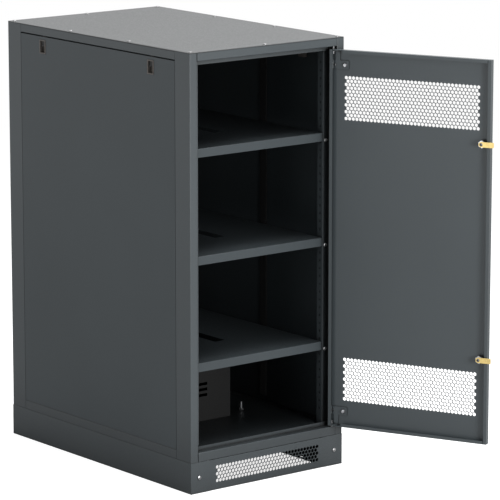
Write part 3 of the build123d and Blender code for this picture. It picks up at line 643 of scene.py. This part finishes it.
for side in (-1, 1):
    for x in end_lip_span:
        end_faces = {f for f in pan.faces if all(v.co.z * side > door_tall - touching for v in f.verts)}
        bmesh.ops.bisect_plane(pan, geom=with_edges(end_faces), plane_co=(x, 0, 0), plane_no=(1, 0, 0))
    lip_edges = [e for e in pan.edges if all(
        v.co.z * side > door_tall - touching and v.co.y > door_depth - touching
        and end_lip_span[0] - touching < v.co.x < end_lip_span[1] + touching for v in e.verts)]
    pulled(pan, lip_edges, (0, 0, -side * lip_width))
bmesh.ops.translate(pan, verts=pan.verts, vec=(0, door_face, door_middle))
bmesh.ops.transform(pan, matrix=swing, verts=pan.verts)
bmesh.ops.recalc_face_normals(pan, faces=pan.faces)
outside = swing.to_3x3() @ Vector((0, -1, 0))
if sum(f.normal.dot(outside) for f in pan.faces) < 0:
    bmesh.ops.reverse_faces(pan, faces=pan.faces)
# The door's colour carries painted shade along its seams and folds.
door_coat = finish_material(
    "door_powder_coat", coat_group, {"Colour": graphite, "Gloss": 0.42, "Darkest": 0.95}, bump=0.12,
    painted_shades=(seam_painted_shade,))
door_piece = as_piece("door_punched_pan", pan, door_coat, "front_door", "door_paint", "door_pan")
thicken(door_piece, door_gauge)


# ---- Hinge leaves and their nuts
# A painted 3 mm plate inside the door carries each hinge pin's bore; a zinc plated stud and nut hold it,
# with a dull steel washer under the nut.

dress(door_coat, "hinge_leaf_upper", "hinge_leaf_lower")


def nut_mesh(name, flats, bore, height, chamfer_size):
    """A hexagonal nut standing on the XY plane, with its outer corners taken off at the top."""
    nut = bmesh.new()
    bmesh.ops.create_circle(nut, segments=6, radius=flats / math.sqrt(3))
    bmesh.ops.create_circle(nut, segments=24, radius=bore)
    bmesh.ops.triangle_fill(nut, use_beauty=True, edges=nut.edges[:], normal=(0, 0, 1))
    top = bmesh.ops.extrude_face_region(nut, geom=nut.faces[:])["geom"]
    bmesh.ops.translate(nut, vec=(0, 0, height), verts=[g for g in top if isinstance(g, bmesh.types.BMVert)])
    bmesh.ops.recalc_face_normals(nut, faces=nut.faces)
    corner_edges = [e for e in nut.edges if all(
        v.co.z > height - 1e-6 and v.co.xy.length > flats / 2 for v in e.verts) and e.calc_face_angle(0) > 1]
    bmesh.ops.bevel(nut, geom=corner_edges, offset=chamfer_size, segments=2, profile=0.5, affect="EDGES",
                    material=-1)
    return kept_mesh(name, nut)


leaf_face = -0.4745
stud_x = 0.223
stud_margin = 0.048
stud_heights = (door_high - stud_margin, door_low + stud_margin)
flange_washer = kept_mesh("flange_washer", lathe(
    [(0.0033, 0), (0.0066, 0), (0.0066, 0.0012), (0.0060, 0.0016), (0.0033, 0.0016), (0.0033, 0)], 32))
hinge_nut = nut_mesh("hinge_nut", 0.010, 0.0031, 0.0060, 0.0008)
inward = swing.to_3x3() @ Vector((0, 1, 0))
nut_places = [(swing @ Vector((stud_x, leaf_face, z)), inward) for z in stud_heights]
set_down("hinge_nut_bodies", hinge_nut, nut_places, bright_zinc, "front_door", "bright_zinc", "hinge_nuts")
set_down("hinge_nut_washers", flange_washer, nut_places, dull_steel, "front_door", "bright_zinc")


# ---- Cam locks
# Two quarter-turn locks at the door's free edge: a chromed barrel, a black nylon spacer, a steel nut,
# and a yellow zinc plated cam that a domed socket screw holds on the spindle.

chrome = finish_material("satin_chrome", plated_group, {"Colour": srgb(205, 207, 210), "Gloss": 0.16},
                         metallic=1.0, bump=0.05)
cam_brass = finish_material("yellow_zinc", plated_group, {"Colour": srgb(226, 200, 132), "Gloss": 0.38,
                                                          "Darkest": 0.9}, metallic=1.0, bump=0.15)
dress(chrome, "lock_spindle_upper", "lock_spindle_lower")
dress(cam_brass, "lock_cam_upper", "lock_cam_lower")
lock_outward = swing.to_3x3() @ Vector((0, -1, 0))
barrel_front, barrel_end = -0.4815, -0.4573
barrel_length = barrel_end - barrel_front
barrel = kept_mesh("lock_barrel", lathe(
    [(0.00405, 0), (0.0080, 0), (0.0080, barrel_length - 0.0025), (0.0140, barrel_length - 0.0025),
     (0.0140, barrel_length - 0.0010), (0.0134, barrel_length - 0.0002), (0.0120, barrel_length),
     (0.0060, barrel_length), (0.0052, barrel_length - 0.0012), (0.00405, barrel_length - 0.0012),
     (0.00405, 0)], 40))
barrel_places = [(swing @ Vector((lock_x, barrel_end, z)), lock_outward) for z in lock_heights]
set_down("lock_barrel_bodies", barrel, barrel_places, chrome, "front_door", "lock_chrome", "lock_barrels")
spacer_start, spacer_end = -0.4775, -0.4640
spacer = kept_mesh("lock_spacer", lathe(
    [(0.0082, 0), (0.0120, 0), (0.0120, 0.0120), (0.0112, 0.0135), (0.0082, 0.0135), (0.0082, 0)], 32))
spacer_places = [(swing @ Vector((lock_x, spacer_start, z)), inward) for z in lock_heights]
set_down("lock_spacer_bodies", spacer, spacer_places, moulded_black, "front_door", "spacer_plastic",
         "lock_spacers")
lock_nut = nut_mesh("lock_nut", 0.022, 0.0082, 0.0060, 0.0012)
lock_nut_places = [(swing @ Vector((lock_x, spacer_end, z)), inward) for z in lock_heights]
set_down("lock_nut_bodies", lock_nut, lock_nut_places, bright_zinc, "front_door", "bright_zinc", "lock_nuts")


def socket_tool(flats, low, high):
    """A hexagonal key's tip."""
    key = bmesh.new()
    corner = flats / math.sqrt(3)
    bmesh.ops.create_cone(key, cap_ends=True, segments=6, radius1=corner, radius2=corner, depth=high - low,
                          matrix=Matrix.Translation((0, 0, (high + low) / 2)))
    return key


domed_head = recessed(
    "domed_head",
    lathe([(0, 0), (0.0052, 0), (0.0050, 0.0012), (0.0042, 0.0022), (0.0030, 0.0028), (0.0015, 0.0030),
           (0, 0.0030)], 24),
    socket_tool(0.0042, 0.0006, 0.0040))
cam_outer_face = -0.4538
for end, z in zip(("lower", "upper"), lock_heights):
    set_down(f"cam_screw_head_{end}", domed_head, [(swing @ Vector((lock_x, cam_outer_face, z)), inward)],
             dull_steel, f"lock_{end}", "screw_zinc", f"cam_screw_{end}")


# ---- Floor, light and camera
# A pale floor that fades into a white backdrop, a large soft lamp overhead, a smaller one in front and a
# weak, low one at the left, and a camera with a long lens at twice the height of the roof.

floor_shape = bmesh.new()
floor_radius = 7.0
floor_grey = 0.52
floor_glow = 0.78
fade_start, fade_end = 3.0, 6.5
bmesh.ops.create_circle(floor_shape, cap_ends=True, segments=96, radius=floor_radius)
floor = bpy.data.objects.new("studio_floor", kept_mesh("studio_floor", floor_shape))
bpy.context.scene.collection.objects.link(floor)
floor_material = bpy.data.materials.new("studio_floor")
floor_material.use_nodes = True
tree = floor_material.node_tree
tree.nodes.clear()
pale = tree.nodes.new("ShaderNodeBsdfDiffuse")
pale.inputs["Color"].default_value = (floor_grey, floor_grey, floor_grey, 1)
glow = tree.nodes.new("ShaderNodeEmission")
ray = tree.nodes.new("ShaderNodeLightPath")
seen = tree.nodes.new("ShaderNodeMath")
seen.operation = "MULTIPLY"
seen.inputs[1].default_value = floor_glow
tree.links.new(ray.outputs["Is Camera Ray"], seen.inputs[0])
tree.links.new(seen.outputs[0], glow.inputs["Strength"])
both = tree.nodes.new("ShaderNodeAddShader")
tree.links.new(pale.outputs[0], both.inputs[0])
tree.links.new(glow.outputs[0], both.inputs[1])
place = tree.nodes.new("ShaderNodeTexCoord")
distance = tree.nodes.new("ShaderNodeVectorMath")
distance.operation = "LENGTH"
tree.links.new(place.outputs["Object"], distance.inputs[0])
fade = tree.nodes.new("ShaderNodeMapRange")
fade.inputs["From Min"].default_value = fade_start
fade.inputs["From Max"].default_value = fade_end
tree.links.new(distance.outputs["Value"], fade.inputs["Value"])
clear = tree.nodes.new("ShaderNodeBsdfTransparent")
blend = tree.nodes.new("ShaderNodeMixShader")
tree.links.new(fade.outputs["Result"], blend.inputs[0])
tree.links.new(both.outputs[0], blend.inputs[1])
tree.links.new(clear.outputs[0], blend.inputs[2])
output = tree.nodes.new("ShaderNodeOutputMaterial")
tree.links.new(blend.outputs[0], output.inputs["Surface"])
floor.data.materials.append(floor_material)

world = bpy.data.worlds.new("studio")
bpy.context.scene.world = world
world.use_nodes = True
tree = world.node_tree
tree.nodes.clear()
ray = tree.nodes.new("ShaderNodeLightPath")
shows = tree.nodes.new("ShaderNodeMath")
shows.operation = "MAXIMUM"
tree.links.new(ray.outputs["Is Camera Ray"], shows.inputs[0])
tree.links.new(ray.outputs["Is Glossy Ray"], shows.inputs[1])
backdrop = tree.nodes.new("ShaderNodeBackground")
backdrop.inputs["Color"].default_value = (1, 1, 1, 1)
ambient = tree.nodes.new("ShaderNodeBackground")
ambient.inputs["Color"].default_value = (0.95, 0.98, 1.0, 1)
ambient_level = 0.55
ambient.inputs["Strength"].default_value = ambient_level
blend = tree.nodes.new("ShaderNodeMixShader")
tree.links.new(shows.outputs[0], blend.inputs[0])
tree.links.new(ambient.outputs[0], blend.inputs[1])
tree.links.new(backdrop.outputs[0], blend.inputs[2])
output = tree.nodes.new("ShaderNodeOutputWorld")
tree.links.new(blend.outputs[0], output.inputs["Surface"])


def soft_lamp(name, place, target, size, watts):
    """A square area lamp aimed at a point."""
    light = bpy.data.lights.new(name, "AREA")
    light.size = size
    light.energy = watts
    lamp = bpy.data.objects.new(name, light)
    lamp.location = place
    lamp.rotation_euler = (Vector(target) - Vector(place)).to_track_quat("-Z", "Y").to_euler()
    bpy.context.scene.collection.objects.link(lamp)


soft_lamp("overhead", (0.9, -0.6, 4.6), (0, 0, 0.8), 2.6, 230)
soft_lamp("front", (-0.2, -6.0, 1.4), (0.1, -0.6, 0.75), 1.4, 242)
soft_lamp("left", (-4.2, -1.4, 0.2), (0, -0.2, 0.1), 1.6, 17)

camera_down = 11.372
camera_turn = -38.395
view = bpy.data.cameras.new("camera")
view.sensor_width = 36.0
view.lens = 239.26
view.clip_end = 60.0
camera = bpy.data.objects.new("camera", view)
camera.location = (-6.2504, -8.2775, 2.7361)
camera.rotation_euler = (math.radians(90 - camera_down), 0, math.radians(camera_turn))
bpy.context.scene.collection.objects.link(camera)
bpy.context.scene.camera = camera
bpy.context.scene.view_settings.view_transform = "Standard"
